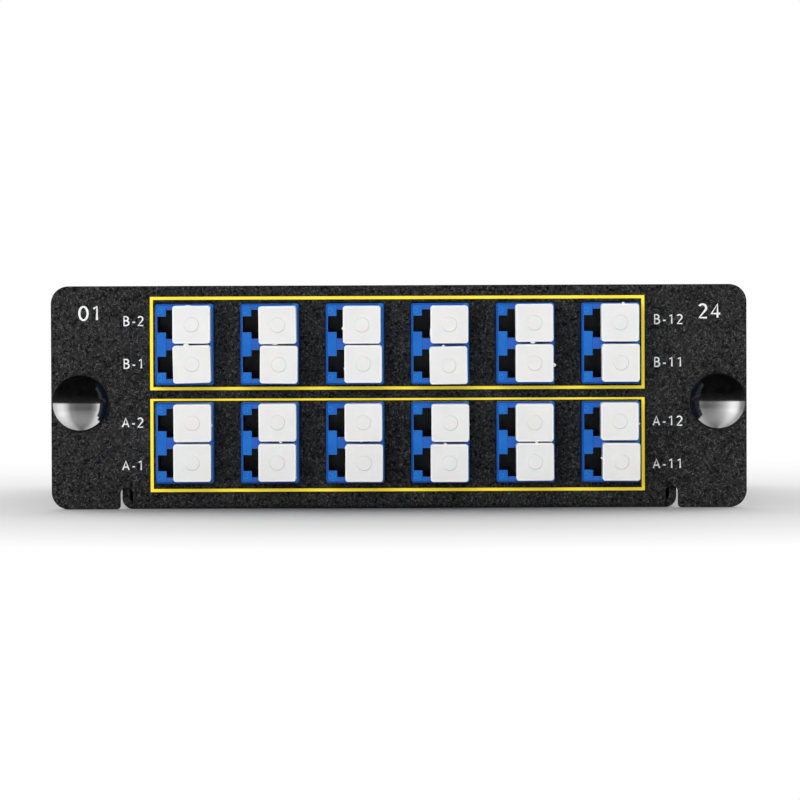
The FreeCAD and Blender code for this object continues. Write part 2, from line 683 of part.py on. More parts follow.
def make_plunger(side):
    """Domed head with the pin that spreads the grommet's shank."""
    x, z = side * latch_x, LATCH_HEIGHT
    back = -GROMMET_THICKNESS - DOME_GAP
    edge = back - DOME_EDGE
    top = edge - DOME_HEIGHT
    tip = SHANK_LENGTH - PIN_SHORT
    sphere = (DOME_RADIUS ** 2 + DOME_HEIGHT ** 2) / (2 * DOME_HEIGHT)
    half_angle = math.asin(min(1.0, DOME_RADIUS / sphere)) / 2
    shoulder = V(x + sphere * math.sin(half_angle), top + sphere * (1 - math.cos(half_angle)), z)
    corners = [(0, tip), (PIN_RADIUS - SHANK_TIP, tip), (PIN_RADIUS, tip - SHANK_TIP), (PIN_RADIUS, back),
               (DOME_RADIUS, back), (DOME_RADIUS, edge)]
    points = [V(x + radius, y, z) for radius, y in corners]
    lines = [Part.LineSegment(a, b).toShape() for a, b in zip(points, points[1:])]
    lines.append(Part.Arc(points[-1], shoulder, V(x, top, z)).toShape())
    lines.append(Part.LineSegment(V(x, top, z), points[0]).toShape())
    return outward(Part.Face(Part.Wire(lines)).revolve(V(x, 0, z), Y_AXIS, 360))


def make_port_group_lines():
    """Printed outlines round the two rows."""
    left = column_x[0] - adapter_width / 2 - PRINT_LEFT
    right = column_x[-1] + adapter_width / 2 + PRINT_RIGHT
    rings = []
    for row, below, above, top_line in (("a", PRINT_BELOW_A, PRINT_ABOVE_A, PRINT_THIN_LINE),
                                        ("b", PRINT_BELOW_B, PRINT_ABOVE_B, PRINT_LINE)):
        bottom = row_z[row] - adapter_height / 2 - below
        top = row_z[row] + adapter_height / 2 + above
        outer = box(left, right, -PRINT_THICKNESS, 0, bottom, top)
        rings.append(outer.cut(box(left + PRINT_LINE, right - PRINT_LINE, -OVERCUT, OVERCUT,
                                   bottom + PRINT_LINE, top - top_line)))
    return Part.Compound(rings)


def make_pigtail_plug():
    """Plug body in an adapter's rear socket, with its latch lever."""
    nose = adapter_mid + MID_WALL / 2 + PIGTAIL_NOSE_GAP
    width = PORT_SQUARE - 2 * PIGTAIL_FIT
    lever_x = -PORT_SQUARE / 2 - LATCH_WIDE_REACH + PIGTAIL_LEVER_GAP
    root = adapter_rear - LATCH_DEPTH + PIGTAIL_NOSE_GAP
    recess_end = adapter_mid + HOLDER_LENGTH / 2 + PIGTAIL_NOSE_GAP
    body = block_at(0, 0, width, width, nose, boot_start)
    lever = block_at(lever_x + PIGTAIL_LEVER / 2, 0, PIGTAIL_LEVER, PIGTAIL_LEVER_WIDTH,
                     root, adapter_rear + PIGTAIL_LEVER_OUT)
    foot = box(lever_x, 0, root, root + 2 * PIGTAIL_LEVER, -PIGTAIL_LEVER_WIDTH / 2, PIGTAIL_LEVER_WIDTH / 2)
    bores = [rod(0, 0, PIGTAIL_BORE_RADIUS, nose - OVERCUT, recess_end),
             rod(0, 0, FERRULE_RADIUS + FERRULE_FIT, recess_end - OVERCUT, adapter_mid + FERRULE_LENGTH)]
    return body.fuse([lever, foot]).cut(bores)


def make_pigtail_ferrule():
    """Ceramic ferrule from a plug's body to the middle of the sleeve."""
    return rod(0, 0, FERRULE_RADIUS, adapter_mid, adapter_mid + FERRULE_LENGTH)


def make_pigtail_boot():
    """Tapered strain relief behind a plug, open for the fibre."""
    hole = FIBRE_RADIUS + FIBRE_FIT
    profile = [(hole, boot_start), (BOOT_RADIUS, boot_start), (BOOT_END_RADIUS, boot_end), (hole, boot_end)]
    return turned(profile, 0, 0)


def splitter_place(deep, high):
    """Y and Z of one splitter's axis: deep counts from the rear, high from the floor."""
    y = tray_y + (splitters_deep - 1) / 2 * SPLITTER_PITCH - deep * SPLITTER_PITCH
    return y, SHEET + TRAY_FLOOR + (high + 0.5) * SPLITTER_PITCH


def make_splitters():
    """Sealed steel splitter tubes, with a recess at each end for the fibres."""
    half = SPLITTER_LENGTH / 2
    tubes = []
    for deep in range(splitters_deep):
        for high in range(splitters_high):
            y, z = splitter_place(deep, high)
            tube = Part.makeCylinder(SPLITTER_RADIUS, 2 * half, V(-half, y, z), X_AXIS)
            recess = FIBRE_RADIUS + FIBRE_FIT
            tube = tube.cut(Part.makeCylinder(recess, SPLITTER_RECESS, V(-half, y, z), X_AXIS))
            tubes.append(tube.cut(Part.makeCylinder(recess, SPLITTER_RECESS, V(half, y, z), X_AXIS * -1)))
    return Part.Compound(tubes)


def make_splitter_tray():
    """Moulded tray on the floor: two ribs carry the splitters, a block gathers their right ends."""
    block_x = SPLITTER_LENGTH / 2 - TRAY_SOCKET
    y0, y1 = tray_y - tray_half - TRAY_RIM, tray_y + tray_half + TRAY_RIM
    tray = box(-TRAY_RIB_OUT - TRAY_RIB, block_x + TRAY_BLOCK, y0, y1, SHEET, SHEET + TRAY_FLOOR)
    ribs = [box(x - TRAY_RIB / 2, x + TRAY_RIB / 2, y0, y1, SHEET, tray_top)
            for x in (-TRAY_RIB_OUT, TRAY_RIB_OUT)]
    ribs.append(box(block_x, block_x + TRAY_BLOCK, y0 - TRAY_FRONT_EDGE, y1, SHEET, tray_top))
    tray = tray.fuse(ribs)
    cuts = []
    for deep in range(splitters_deep):
        for high in range(splitters_high):
            y, z = splitter_place(deep, high)
            cuts.append(Part.makeCylinder(SPLITTER_RADIUS + SPLITTER_FIT, SPLITTER_LENGTH,
                                          V(-SPLITTER_LENGTH / 2, y, z), X_AXIS))
            cuts.append(Part.makeCylinder(FIBRE_RADIUS + FIBRE_FIT, 2 * TRAY_BLOCK, V(block_x, y, z), X_AXIS))
    x, z = tap_end()
    cuts.append(rod(x, z, TAP_RADIUS + FIBRE_FIT, y0 - TRAY_FRONT_EDGE - OVERCUT, tap_hole_end()))
    return tray.cut(cuts)


def tap_end():
    """X and Z where the tap tube enters the tray's block."""
    x = SPLITTER_LENGTH / 2 - TRAY_SOCKET + TRAY_BLOCK / 2
    return x, SHEET + TRAY_FLOOR + splitters_high / 2 * SPLITTER_PITCH


def tap_hole_end():
    """Depth at which the tap tube's hole in the block ends."""
    return tray_y - tray_half - TRAY_RIM - TRAY_FRONT_EDGE + TAP_ENTRY


def fibre_points(column, row, port):
    """Route from a boot, round one side of the tray, into a splitter's end.

    The upper row's fibres cross the case above the rear plug's boot.
    """
    side = -1 if row == "a" else 1
    order = column if row == "a" else COLUMNS - 1 - column
    x, z = port_centre(column, row, port)
    turn_y = boot_end + FIBRE_TURN_ROOM + order * FIBRE_STEP
    wall_x = side * (inside_x - FIBRE_WALL_ROOM - order * FIBRE_STEP)
    layer = port * splitters_high // 2 + order % 2
    end_y, end_z = splitter_place(order // 2, layer)
    end_x = SPLITTER_LENGTH / 2 - SPLITTER_RECESS + FIBRE_RADIUS
    start = [V(x, boot_end - FIBRE_ENTRY, z)]
    level = z
    if row == "b" and z < over_boot_z:
        level = over_boot_z
        start.append(V(x, boot_end + FIBRE_LEAD, z))
    return start + [V(x, turn_y, level), V(wall_x, turn_y + FIBRE_SLANT, level), V(wall_x, end_y, end_z),
                    V(side * end_x, end_y, end_z)]


def make_fibres(row):
    """Pigtail fibres of one row of ports."""
    routes = [fibre_points(*port) for port in all_ports() if port[1] == row]
    return Part.Compound([tube_along(route, FIBRE_RADIUS) for route in routes])


def make_tap_tube():
    """Loose tube with the tap fibres, from the tray's block to the rear socket's boot."""
    end_x, end_z = tap_end()
    between_rows = (row_a_z + row_b_z) / 2
    turn_y = mpo_boot_end - TAP_TURN
    level_y = tap_hole_end() - TAP_ENTRY - TAP_LEAD
    return tube_along([V(0, mpo_boot_end + FIBRE_ENTRY, mpo_z), V(0, turn_y, mpo_z),
                       V(end_x, turn_y, between_rows), V(end_x, level_y, end_z),
                       V(end_x, tap_hole_end(), end_z)], TAP_RADIUS)


def make_mpo_adapter():
    """Rear multi-fibre adapter, its flange on the outside of the rear wall."""
    body = block_at(0, mpo_z, MPO_WIDTH, MPO_HEIGHT, mpo_front, mpo_rear, MPO_CORNER)
    flange_end = body_depth + MPO_FLANGE
    flange_width = MPO_WIDTH + 2 * MPO_FLANGE_SIDE
    flange = block_at(0, mpo_z, flange_width, MPO_HEIGHT, body_depth, flange_end, MPO_CORNER)
    cuts = [rod(x, mpo_z, SCREW_RADIUS + SCREW_FIT, body_depth - OVERCUT, flange_end + OVERCUT)
            for x in mpo_screw_places()]
    middle = (mpo_front + mpo_rear) / 2
    cuts.append(block_at(0, mpo_z, MPO_WINDOW_WIDTH, MPO_WINDOW_HEIGHT, mpo_front, mpo_rear))
    key_z = mpo_z + (MPO_PORT_HEIGHT + MPO_KEY_HEIGHT) / 2
    for y0, y1 in ((mpo_front - OVERCUT, middle - MPO_MID_WALL / 2),
                   (middle + MPO_MID_WALL / 2, mpo_rear + OVERCUT)):
        cuts.append(block_at(0, mpo_z, MPO_PORT_WIDTH, MPO_PORT_HEIGHT, y0, y1))
        cuts.append(block_at(0, key_z, MPO_KEY_WIDTH, MPO_KEY_HEIGHT + CUT_OVERLAP, y0, y1))
    return body.fuse(flange).cut(cuts)


def make_mpo_screws():
    """Pan-head screws through the rear socket's flange."""
    head_y = body_depth + MPO_FLANGE
    screws = []
    for x in mpo_screw_places():
        head = rod(x, mpo_z, SCREW_HEAD_RADIUS, head_y, head_y + MPO_SCREW_HEAD)
        head = head.makeFillet(MPO_SCREW_EDGE, edges_at(head, head_y + MPO_SCREW_HEAD))
        recess = cross_recess()
        recess.rotate(V(0, 0, 0), X_AXIS, 90)
        recess.translate(V(x, head_y + MPO_SCREW_HEAD, mpo_z))
        shank = rod(x, mpo_z, SCREW_RADIUS, head_y - MPO_SCREW_LENGTH, head_y)
        screws.append(head.fuse(shank).cut(recess))
    return Part.Compound(screws)


def make_mpo_plug():
    """Inner plug in the rear adapter: nose in the socket, coupling body behind it."""
    nose_end = mpo_front + mpo_port_depth - PIGTAIL_NOSE_GAP
    face = mpo_front + mpo_port_depth + MPO_MID_WALL / 2
    play = 2 * MPO_FIT
    nose = block_at(0, mpo_z, MPO_PORT_WIDTH - play, MPO_PORT_HEIGHT - play, mpo_front, nose_end)
    ferrule = block_at(0, mpo_z, MPO_WINDOW_WIDTH - play, MPO_WINDOW_HEIGHT - play, nose_end, face)
    body = block_at(0, mpo_z, MPO_PLUG_WIDTH, MPO_PLUG_HEIGHT, mpo_boot_start, mpo_front, MPO_CORNER)
    return nose.fuse([ferrule, body])


def make_mpo_boot():
    """Strain relief behind the inner plug, open for the tap tube."""
    boot = block_at(0, mpo_z, MPO_BOOT_WIDTH, MPO_BOOT_HEIGHT, mpo_boot_end, mpo_boot_start, MPO_CORNER)
    hole = rod(0, mpo_z, TAP_RADIUS + 4 * FIBRE_FIT, mpo_boot_end - OVERCUT, mpo_boot_end + 2 * FIBRE_ENTRY)
    return boot.cut(hole)


def make_mpo_dust_cap():
    """Cap of the rear socket: head on its rim, hollow shank inside."""
    head = block_at(0, mpo_z, MPO_WIDTH, MPO_HEIGHT, mpo_rear, mpo_rear + MPO_CAP_HEAD, MPO_CORNER)
    head = head.makeFillet(DUST_EDGE, edges_at(head, mpo_rear + MPO_CAP_HEAD))
    width = MPO_PORT_WIDTH - 2 * MPO_FIT
    height = MPO_PORT_HEIGHT - 2 * MPO_FIT
    inner_end = mpo_rear - MPO_CAP_SHANK
    shank = block_at(0, mpo_z, width, height, inner_end, mpo_rear)
    hollow = block_at(0, mpo_z, width - 2 * MPO_CAP_WALL, height - 2 * MPO_CAP_WALL, inner_end - OVERCUT,
                      mpo_rear - MPO_CAP_WALL)
    return head.fuse(shank).cut(hollow)


def place(shape):
    """Move a shape from the plate's own depths to the object's frame."""
    return shape.translated(V(0, plate_y, 0))


def make_all():
    """Every node by name."""
    nodes = {
        "chassis": make_chassis(),
        "top_cover": make_top_cover(),
        "case_screws": make_case_screws(),
        "adapter_bracket": make_adapter_bracket(),
        "alignment_sleeves": in_every_port(make_alignment_sleeve()),
        "port_group_lines": make_port_group_lines(),
        "pigtail_plugs": in_every_port(make_pigtail_plug()),
        "pigtail_ferrules": in_every_port(make_pigtail_ferrule()),
        "pigtail_boots": in_every_port(make_pigtail_boot()),
        "pigtail_fibres_a": make_fibres("a"),
        "pigtail_fibres_b": make_fibres("b"),
        "splitter_tubes": make_splitters(),
        "splitter_tray": make_splitter_tray(),
        "tap_tube": make_tap_tube(),
        "mpo_adapter": make_mpo_adapter(),
        "mpo_adapter_screws": make_mpo_screws(),
        "mpo_plug": make_mpo_plug(),
        "mpo_boot": make_mpo_boot(),
        "mpo_dust_cap": make_mpo_dust_cap(),
    }
    for name, side in (("left", -1), ("right", 1)):
        nodes["latch_grommet_" + name] = make_grommet(side)
        nodes["latch_plunger_" + name] = make_plunger(side)
    adapter = make_adapter()
    plug = make_dust_plug()
    for row in "ab":
        for column in range(COLUMNS):
            name = "lc_adapter_%s%d" % (row, column + 1)
            nodes[name] = adapter.translated(V(column_x[column], 0, row_z[row]))
            for port in (0, 1):
                name = "dust_plug_%s%d" % (row, 2 * column + port + 1)
                nodes[name] = seated(plug, (column, row, port))
    return nodes


os.makedirs("parts", exist_ok=True)
for node, solid in make_all().items():
    place(solid).exportStep("parts/" + node + ".step")
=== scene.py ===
import bmesh
import bpy
import json
import math
from mathutils import Matrix, Vector


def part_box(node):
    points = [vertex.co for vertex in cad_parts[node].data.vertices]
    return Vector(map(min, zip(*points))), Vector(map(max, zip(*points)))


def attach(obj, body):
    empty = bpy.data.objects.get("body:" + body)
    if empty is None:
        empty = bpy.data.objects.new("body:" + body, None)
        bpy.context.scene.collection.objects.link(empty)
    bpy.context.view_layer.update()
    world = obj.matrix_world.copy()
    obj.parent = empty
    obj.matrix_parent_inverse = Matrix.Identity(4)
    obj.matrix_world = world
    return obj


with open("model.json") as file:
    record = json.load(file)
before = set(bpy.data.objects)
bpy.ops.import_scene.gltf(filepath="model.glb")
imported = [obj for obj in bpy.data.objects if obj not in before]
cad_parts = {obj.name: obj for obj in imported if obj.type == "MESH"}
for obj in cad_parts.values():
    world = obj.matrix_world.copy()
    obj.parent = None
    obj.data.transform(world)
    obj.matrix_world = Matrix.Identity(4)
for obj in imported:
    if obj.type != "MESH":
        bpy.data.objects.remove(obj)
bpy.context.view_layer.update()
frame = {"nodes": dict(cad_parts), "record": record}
MM = 0.001

# Where the photograph's camera stood, from the size of the plate and of the plugs' heads in it.
PIXEL = 0.1567 * MM
IMAGE_SIZE = 800
CAMERA_DISTANCE = 0.760
CAMERA_HEIGHT = 0.037
CAMERA_ROLL = math.radians(-0.21)
PLATE_CENTRE_PX = 398.95
PLATE_BOTTOM_PX = 508.5
SENSOR = 36.0
CAMERA_CLIP = (0.05, 20.0)

# Printed numbers on the plate: their left ends' or centres' pixels in the photograph.
LETTER_HEIGHT = 1.4 * MM
LETTER_RISE = 0.03 * MM
NUMBER_HEIGHT = 2.1 * MM
LETTER_STROKE = 0.16
LETTER_WIDTH = 1.14
LETTER_SPACE = 0.07
PORT_LABELS = {
    "B-2": (122.8, 320.1), "B-1": (122.8, 362.9), "A-2": (121.3, 421.7), "A-1": (121.3, 464.6),
    "B-12": (653.4, 320.1), "B-11": (653.4, 362.9), "A-12": (652.2, 421.7), "A-11": (652.2, 464.6),
}
CORNER_NUMBERS = {"01": (90.2, 312.3), "24": (709.6, 312.0)}

# Raised pads beside the latch slots on each adapter's face, from the adapter's lower left corner.
# The pads' ends and the pin marks' heights are in millimetres.
PAD_LEFT = 0.3 * MM
PAD_RIGHT = 1.72 * MM
PAD_RISE = 0.16 * MM
PAD_RIDGE = 1.05 * MM
PAD_SLOPE = 0.05 * MM
PAD_EDGE = 0.07 * MM
PAD_ENDS = ((0.3, 1.95), (4.45, 8.2), (10.7, 12.35))
PIN_MARK_RADIUS = 0.42 * MM
PIN_MARK_WIDTH = 0.1 * MM
PIN_MARK_HEIGHTS = (1.1, 11.55)
FLANGE_REACH = 0.9 * MM

# What the runner left on the plugs' heads: side, place along it from -1 to 1, and width and height
# in millimetres.
GATE_NIBS = {
    "b1": ("top", -0.29, 0.84, 0.27), "b2": ("top", -0.2, 0.9, 0.1), "b4": ("bottom", -0.14, 0.95, 0.13),
    "b5": ("left", -0.24, 0.4, 0.1), "b6": ("left", -0.19, 0.5, 0.18), "b7": ("top", -0.27, 0.45, 0.22),
    "b8": ("left", -0.43, 1.5, 0.09), "b9": ("right", -0.1, 0.6, 0.38), "b10": ("bottom", -0.09, 0.75, 0.27),
    "b11": ("left", 0.67, 0.4, 0.09), "b12": ("top", 0.17, 0.42, 0.27), "a2": ("right", -0.12, 0.5, 0.16),
    "a4": ("bottom", 0.17, 0.45, 0.3), "a5": ("left", 0.8, 0.35, 0.07), "a6": ("bottom", -0.12, 0.5, 0.09),
    "a7": ("top", -0.22, 0.45, 0.22), "a8": ("right", -0.07, 0.35, 0.09), "a10": ("bottom", 0.1, 0.5, 0.27),
    "a11": ("left", 0.2, 0.3, 0.22), "a12": ("right", -0.13, 0.3, 0.2),
}
NIB_SIDES = {"top": 0.0, "right": 90.0, "bottom": 180.0, "left": 270.0}
NIB_LENGTH = 1.6 * MM
NIB_BACK = 0.5 * MM
NIB_ROOT = 0.12 * MM

chassis_low, chassis_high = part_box("chassis")
PLATE_Y = chassis_low.y
PLATE_X = (chassis_low.x + chassis_high.x) / 2


def at_pixel(x, y):
    """Point on the plate's face that a pixel of the photograph shows."""
    return Vector((PLATE_X + (x - PLATE_CENTRE_PX) * PIXEL, PLATE_Y, (PLATE_BOTTOM_PX - y) * PIXEL))


class Graph:
    """The nodes of one material, with its shader."""

    def __init__(self, name):
        self.material = bpy.data.materials.new(name)
        self.material.use_nodes = True
        self.tree = self.material.node_tree
        self.shader = self.tree.nodes["Principled BSDF"]
        places = self.add("ShaderNodeTexCoord")
        self.place = places.outputs["Object"]
        self.share = places.outputs["Generated"]

    def add(self, kind, **settings):
        node = self.tree.nodes.new(kind)
        for key, value in settings.items():
            setattr(node, key, value)
        return node

    def link(self, output, socket):
        self.tree.links.new(output, socket)

    def stretched(self, factors):
        """The object's coordinates, scaled on each axis."""
        node = self.add("ShaderNodeMapping")
        node.inputs["Scale"].default_value = factors
        self.link(self.place, node.inputs["Vector"])
        return node.outputs["Vector"]

    def noise(self, size, detail=2.0, rough=0.5, place=None):
        """Noise whose features are about one size across, in metres."""
        node = self.add("ShaderNodeTexNoise")
        node.inputs["Scale"].default_value = 1 / size
        node.inputs["Detail"].default_value = detail
        node.inputs["Roughness"].default_value = rough
        self.link(place or self.place, node.inputs["Vector"])
        return node.outputs["Fac"]

    def ramp(self, value, stops):
        """A grey from a value between 0 and 1."""
        node = self.add("ShaderNodeValToRGB")
        elements = node.color_ramp.elements
        while len(elements) < len(stops):
            elements.new(0.5)
        for element, (position, grey) in zip(elements, stops):
            element.position = position
            element.color = (grey, grey, grey, 1.0)
        self.link(value, node.inputs["Fac"])
        return node.outputs["Color"]

    def span(self, value, low, high, near=0.0, far=1.0):
        """A value from near to far, as its input goes from low to high."""
        node = self.add("ShaderNodeMapRange")
        for name, number in (("From Min", low), ("From Max", high), ("To Min", near), ("To Max", far)):
            node.inputs[name].default_value = number
        self.link(value, node.inputs["Value"])
        return node.outputs["Result"]

    def calculate(self, operation, a, b):
        """Sum, product or the like of two values."""
        node = self.add("ShaderNodeMath", operation=operation)
        for socket, value in zip(node.inputs, (a, b)):
            if isinstance(value, (int, float)):
                socket.default_value = value
            else:
                self.link(value, socket)
        return node.outputs[0]

    def mix(self, factor, a, b):
        """Colour between two colours, given as values or as sockets."""
        node = self.add("ShaderNodeMix", data_type="RGBA")
        self.link(factor, node.inputs[0])
        for socket, colour in ((node.inputs[6], a), (node.inputs[7], b)):
            if hasattr(colour, "__len__"):
                socket.default_value = (*colour, 1.0)
            else:
                self.link(colour, socket)
        return node.outputs[2]

    def split(self, vector):
        """The X, Y and Z of a vector."""
        node = self.add("ShaderNodeSeparateXYZ")
        self.link(vector, node.inputs[0])
        return node.outputs

    def length(self, vector):
        """The length of a vector."""
        node = self.add("ShaderNodeVectorMath", operation="LENGTH")
        self.link(vector, node.inputs[0])
        return node.outputs["Value"]

    def between(self, value, limits, edge):
        """1 between two limits and 0 outside them, with soft edges inside the limits."""
        low, high = limits
        return self.calculate("MULTIPLY", self.span(value, low, low + edge),
                              self.span(value, high, high - edge))

    def edges(self, radius):
        """1 on edges and 0 on flat faces further than a radius in metres from them."""
        rounding = self.add("ShaderNodeBevel", samples=8)
        rounding.inputs["Radius"].default_value = radius
        facing = self.add("ShaderNodeVectorMath", operation="DOT_PRODUCT")
        self.link(rounding.outputs[0], facing.inputs[0])
        self.link(self.add("ShaderNodeNewGeometry").outputs["Normal"], facing.inputs[1])
        return self.span(facing.outputs["Value"], 0.995, 0.85)

    def bump(self, height, depth, edge=0.0, normal=None):
        """Fine relief of a depth in metres, on edges rounded by a radius or on a given normal."""
        node = self.add("ShaderNodeBump")
        node.inputs["Strength"].default_value = 1.0
        node.inputs["Distance"].default_value = depth
        self.link(height, node.inputs["Height"])
        if edge:
            rounding = self.add("ShaderNodeBevel", samples=4)
            rounding.inputs["Radius"].default_value = edge
            self.link(rounding.outputs["Normal"], node.inputs["Normal"])
        if normal:
            self.link(normal, node.inputs["Normal"])
        self.link(node.outputs["Normal"], self.shader.inputs["Normal"])

    def set(self, **values):
        """Constant values on the shader's own sockets."""
        for name, value in values.items():
            self.shader.inputs[name.replace("_", " ")].default_value = value

    def colour(self, output):
        self.link(output, self.shader.inputs["Base Color"])

    def roughness(self, output):
        self.link(output, self.shader.inputs["Roughness"])


def powder_coat():
    """Black powder coat in a fine relief: short wrinkles painted lighter as glints, and pits painted dark as
    shade.
    """
    g = Graph("powder_coat")
    wave = g.calculate("SUBTRACT", g.noise(0.34 * MM, 1.0), 0.5)
    crest = g.span(g.calculate("ABSOLUTE", wave, 0.0), 0.0, 0.07, 1.0, 0.0)
    # Lighter flecks on the wrinkles' crests: painted glints in place of the coat's highlights.
    fleck_glint = g.calculate("MULTIPLY", crest, g.span(g.noise(0.45 * MM, 1.0), 0.42, 0.6))
    # Dark pits: painted shade in the relief's hollows.
    pit_shade = g.span(g.noise(0.38 * MM, 2.0, 0.6), 0.38, 0.46, 1.0, 0.0)
    cloud = g.span(g.noise(9 * MM, 2.0), 0.3, 0.7)
    base = g.mix(cloud, (0.016, 0.016, 0.016), (0.022, 0.022, 0.023))
    g.colour(g.mix(pit_shade, g.mix(fleck_glint, base, (0.12, 0.12, 0.12)), (0.001, 0.001, 0.0015)))
    g.roughness(g.span(fleck_glint, 0.0, 1.0, 0.7, 0.5))
    g.set(Specular_IOR_Level=0.25)
    g.bump(g.calculate("SUBTRACT", fleck_glint, pit_shade), 0.03 * MM, 0.18 * MM)
    return g.material


def moulded(name, dark, light, rough, edge=0.08 * MM, rim_highlight=None, **settings):
    """Moulded plastic: slow colour drift, fine grain and softened edges, with a painted highlight on them if
    given one.
    """
    g = Graph(name)
    drift = g.noise(4 * MM, 3.0)
    colour = g.mix(g.span(drift, 0.35, 0.65), dark, light)
    # The optional lighter edge colour is a painted highlight.
    g.colour(g.mix(g.edges(edge), colour, rim_highlight) if rim_highlight else colour)
    g.roughness(g.span(g.noise(1.3 * MM, 4.0), 0.3, 0.7, rough - 0.05, rough + 0.06))
    g.set(**settings)
    g.bump(g.noise(0.12 * MM, 2.0), 0.002 * MM, edge)
    return g.material


def adapter_plastic():
    """Blue plastic of an adapter: painted shade inside its sockets behind its faces, painted light on its
    right strip, and painted highlights on its edges.
    """
    g = Graph("adapter_plastic")
    colour = g.mix(g.span(g.noise(4 * MM, 3.0), 0.35, 0.65), BLUE_DARK, BLUE_LIGHT)
    x, y, z = g.split(g.share)
    # Painted light: the right strip is lighter, as if lit from the right.
    colour = g.mix(g.span(x, LIT_STRIP_START, LIT_STRIP_START + 0.01), colour, BLUE_STRIP_LIT)
    # Painted highlight on the edges.
    colour = g.mix(g.edges(0.16 * MM), colour, BLUE_RIM_HIGHLIGHT)
    # Painted shade inside the sockets, behind the faces.
    inside = g.calculate("MULTIPLY", g.between(x, SOCKET_WIDTH, SOCKET_EDGE),
                         g.between(z, SOCKET_HEIGHT, SOCKET_EDGE))
    depth = g.calculate("MINIMUM", y, g.calculate("SUBTRACT", 1.0, y))
    dark = g.calculate("MULTIPLY", inside, g.span(depth, *SOCKET_DEPTH))
    g.colour(g.mix(dark, colour, BLUE_SOCKET_SHADE))
    g.roughness(g.span(g.noise(1.3 * MM, 4.0), 0.3, 0.7, 0.3, 0.42))
    g.bump(g.noise(0.12 * MM, 2.0), 0.002 * MM, 0.12 * MM)
    return g.material


def soft_white(name):
    """White polyethylene: a painted highlight on a head's rim, and painted shade on the mark's lower edge.
    """
    g = Graph(name)
    share = g.split(g.share)
    shifts = [g.calculate("SUBTRACT", share[axis], 0.5) for axis in ("X", "Z")]
    outwards = g.calculate("MAXIMUM", *(g.calculate("ABSOLUTE", shift, 0.0) for shift in shifts))
    falling = g.split(g.add("ShaderNodeNewGeometry").outputs["Normal"])[2]
    # Painted shade under the mark's lower edge, where its surface faces down.
    under_shade = g.calculate("MULTIPLY", g.span(falling, -0.2, -0.6), g.span(outwards, *MARK_SHADE_END))
    colour = g.mix(g.span(g.noise(3 * MM, 3.0), 0.3, 0.7), WHITE_DARK, WHITE_LIGHT)
    # Painted highlight on the head's rim.
    colour = g.mix(g.span(outwards, *HEAD_RIM_HIGHLIGHT), colour, WHITE_RIM_HIGHLIGHT)
    g.colour(g.mix(under_shade, colour, WHITE_UNDER_SHADE))
    g.roughness(g.span(g.noise(0.9 * MM, 4.0), 0.3, 0.7, 0.38, 0.5))
    g.set(Subsurface_Weight=0.15, Subsurface_Scale=0.4 * MM)
    g.bump(g.noise(0.25 * MM, 3.0), 0.003 * MM, 0.05 * MM)
    return g.material


def brushed(name, dark, light, rough, stretch):
    """Bare metal with fine drawn lines along one axis."""
    g = Graph(name)
    lines = g.noise(0.15 * MM, 3.0, 0.6, g.stretched(stretch))
    g.colour(g.mix(g.span(lines, 0.3, 0.7), dark, light))
    g.roughness(g.span(lines, 0.3, 0.7, rough - 0.06, rough + 0.08))
    g.set(Metallic=1.0)
    g.bump(lines, 0.004 * MM, 0.06 * MM)
    return g.material


def polished_black(name):
    """Black gloss with the faint unevenness of a moulded dome, round right across its middle."""
    g = Graph(name)
    wave = g.noise(1.1 * MM, 3.0)
    g.colour(g.mix(g.span(wave, 0.35, 0.65), (0.002, 0.002, 0.002), (0.005, 0.005, 0.0055)))
    g.roughness(g.span(g.noise(0.4 * MM, 4.0), 0.3, 0.75, 0.09, 0.14))
    g.set(IOR=1.7)
    x, y, z = g.split(g.share)
    round_way, sideways = g.add("ShaderNodeCombineXYZ"), g.add("ShaderNodeCombineXYZ")
    for value, axis in ((x, "X"), (z, "Z")):
        slope = g.calculate("MULTIPLY", g.calculate("SUBTRACT", value, 0.5), DOME_SLOPE)
        g.link(slope, round_way.inputs[axis])
        g.link(slope, sideways.inputs[axis])
    round_way.inputs["Y"].default_value = -1.0
    unit = g.add("ShaderNodeVectorMath", operation="NORMALIZE")
    g.link(round_way.outputs[0], unit.inputs[0])
    near_axis = g.span(g.length(sideways.outputs[0]), *DOME_MIDDLE)
    normal = g.add("ShaderNodeMix", data_type="VECTOR")
    g.link(g.calculate("MULTIPLY", near_axis, g.span(y, *DOME_FRONT)), normal.inputs[0])
    g.link(g.add("ShaderNodeNewGeometry").outputs["Normal"], normal.inputs[4])
    g.link(unit.outputs[0], normal.inputs[5])
    g.bump(wave, 0.001 * MM, normal=normal.outputs[1])
    return g.material


def ink(name, dark, light, glow=0.0):
    """Screen print: even, vivid colour with a slight grain from the coat below it, and a painted glow if
    given one.
    """
    g = Graph(name)
    g.set(Emission_Color=(*light, 1.0), Emission_Strength=glow)
    grain = g.noise(0.3 * MM, 3.0)
    g.colour(g.mix(g.span(grain, 0.25, 0.75), dark, light))
    g.roughness(g.span(grain, 0.3, 0.7, 0.45, 0.6))
    g.bump(grain, 0.015 * MM)
    return g.material


# Colours of the plastics: each drifts slowly between its dark and its light.
BLUE_DARK, BLUE_LIGHT = (0.006, 0.085, 0.42), (0.01, 0.11, 0.5)
# Painted highlight on the adapters' edges, and painted shade inside their sockets.
BLUE_RIM_HIGHLIGHT, BLUE_SOCKET_SHADE = (0.045, 0.21, 0.6), (0.0004, 0.001, 0.007)
# The adapters' right strip: painted light, lighter than the rest of the face.
BLUE_STRIP_LIT = (0.022, 0.2, 0.7)
